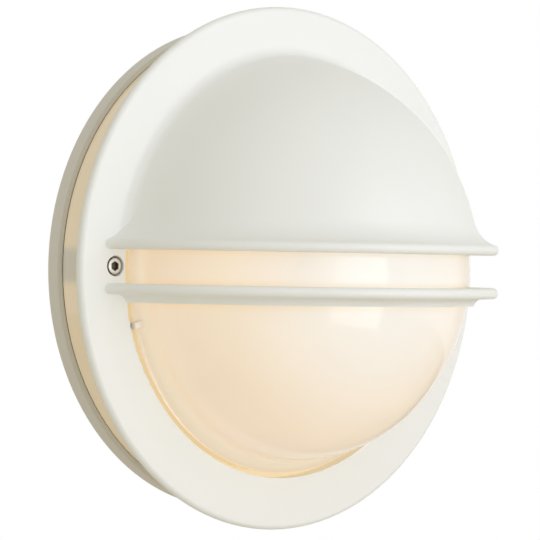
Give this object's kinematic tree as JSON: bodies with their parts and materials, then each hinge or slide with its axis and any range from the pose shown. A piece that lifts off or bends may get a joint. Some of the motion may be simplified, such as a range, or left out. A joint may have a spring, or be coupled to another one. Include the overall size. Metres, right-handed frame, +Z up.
{
  "type": "round wall light with half hood",
  "caption": "Round white cast wall light with a half-dome hood over the upper half of a warm opal diffuser, a slot and a crossbar across the middle, and a shallow cast base.",
  "frame": {"origin": "centre of the wall fixing holes, on the plane of the wall", "axes": "+Z up, +X right as seen from the room, -Y out of the wall towards the room; the wall is the plane Y = 0"},
  "size_m": [0.275, 0.1446, 0.275],
  "materials": {
    "cover_coat": "fine satin powder coat on a casting",
    "base_coat": "fine satin powder coat on a casting",
    "opal_plastic": "smooth opal, lit from inside",
    "rubber": "matt",
    "steel": "bright stainless",
    "zinc_plate": "zinc plated",
    "tray_coat": "white gloss paint",
    "porcelain": "glazed, like porcelain",
    "brass": "plain",
    "lamp_glass": "white frosted bulb",
    "block_plastic": "natural",
    "brown_insulation": "smooth",
    "blue_insulation": "smooth",
    "green_insulation": "smooth"
  },
  "bodies": {
    "root": {"base_housing": "base_coat", "base_seal": "rubber", "diffuser": "opal_plastic", "front_cover": "cover_coat", "cover_screw_left": "steel", "cover_screw_right": "steel", "pillar_seal_left": "rubber", "pillar_seal_right": "rubber", "diffuser_clip_upper_left": "steel", "diffuser_clip_lower_left": "steel", "diffuser_clip_upper_right": "steel", "diffuser_clip_lower_right": "steel", "gear_tray": "tray_coat", "tray_screw_top": "steel", "tray_screw_left": "steel", "tray_screw_right": "steel", "holder_bracket": "zinc_plate", "bracket_screw_upper": "steel", "bracket_screw_lower": "steel", "lampholder_body": "porcelain", "lampholder_sleeve": "brass", "lampholder_contact": "brass", "holder_screw_upper": "steel", "holder_screw_lower": "steel", "lamp": "lamp_glass", "terminal_block": "block_plastic", "terminal_insert_live": "brass", "terminal_insert_neutral": "brass", "terminal_insert_earth": "brass", "terminal_screws_live": "steel", "terminal_screws_neutral": "steel", "terminal_screws_earth": "steel", "terminal_fixing_screw": "steel", "earth_screw": "steel", "earth_washer": "steel", "earth_lug": "brass", "cable_grommet": "rubber", "blanking_plug": "rubber", "live_wire": "brown_insulation", "neutral_wire": "blue_insulation", "earth_wire": "green_insulation"}
  },
  "joints": []
}
